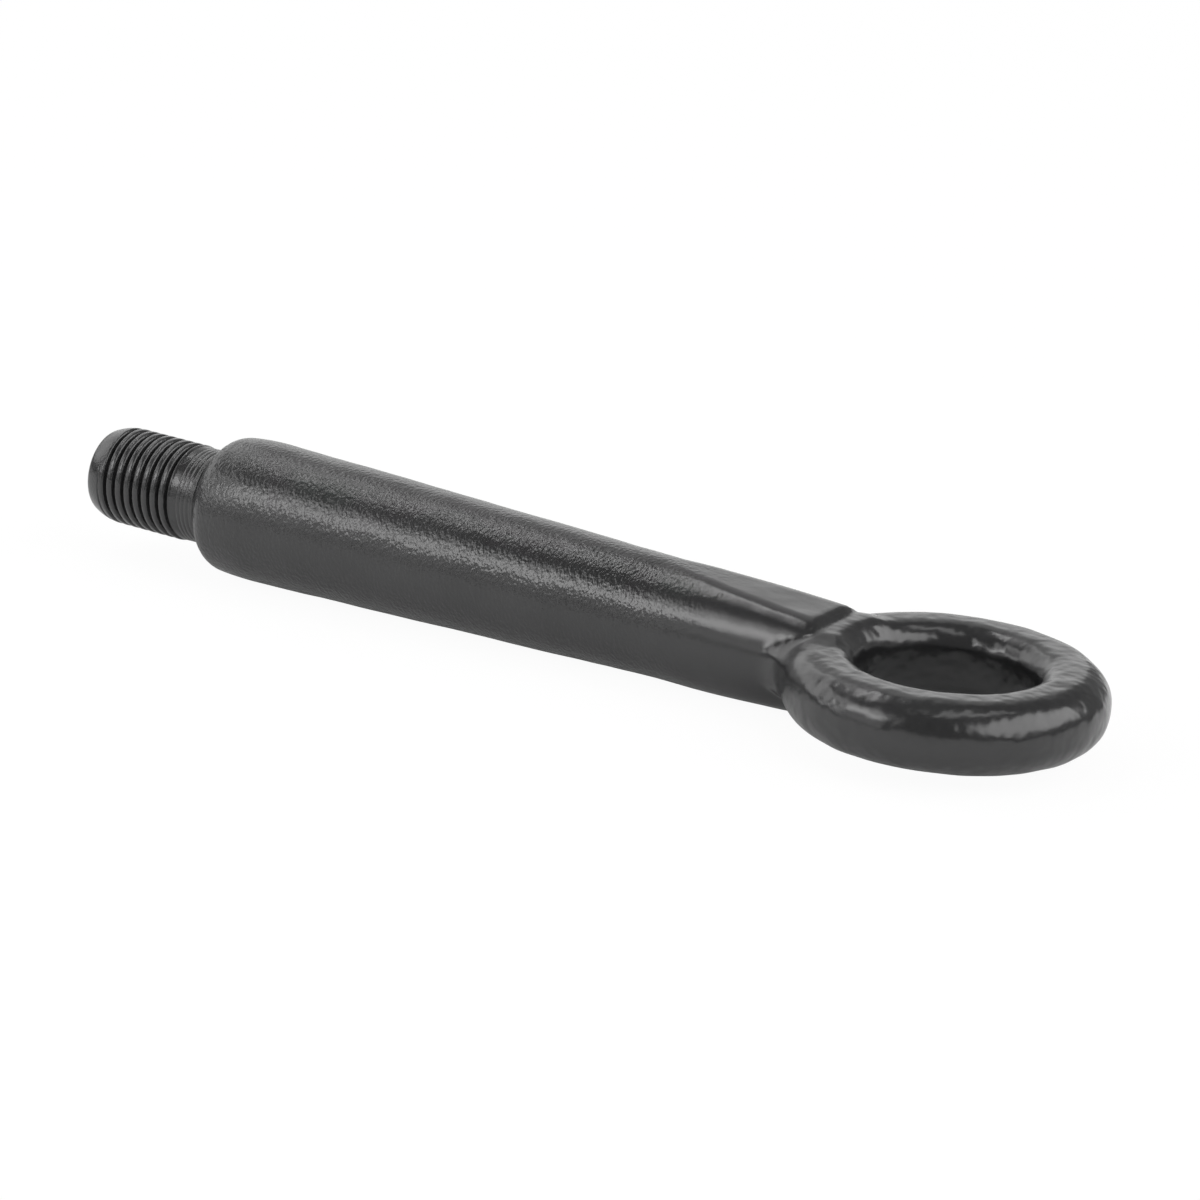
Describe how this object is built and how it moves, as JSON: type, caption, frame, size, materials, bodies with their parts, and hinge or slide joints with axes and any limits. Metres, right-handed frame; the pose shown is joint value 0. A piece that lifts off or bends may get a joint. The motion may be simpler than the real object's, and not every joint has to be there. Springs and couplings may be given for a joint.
{
  "type": "tow eye",
  "caption": "Screw-in tow eye: one steel forging with a threaded stub, a stop shoulder, a tapered round shank and a closed ring for a hook or shackle.",
  "frame": {"origin": "on the thread's axis at the foot of the shoulder, the face that stops the tow eye when it is screwed home", "axes": "+X runs along the shank from the thread to the eye, +Z is the axis of the eye's hole, +Y completes a right-handed frame"},
  "size_m": [0.202, 0.055, 0.0256],
  "materials": {
    "black_coating": "satin"
  },
  "bodies": {
    "root": {"tow_eye": "black_coating"}
  },
  "joints": []
}
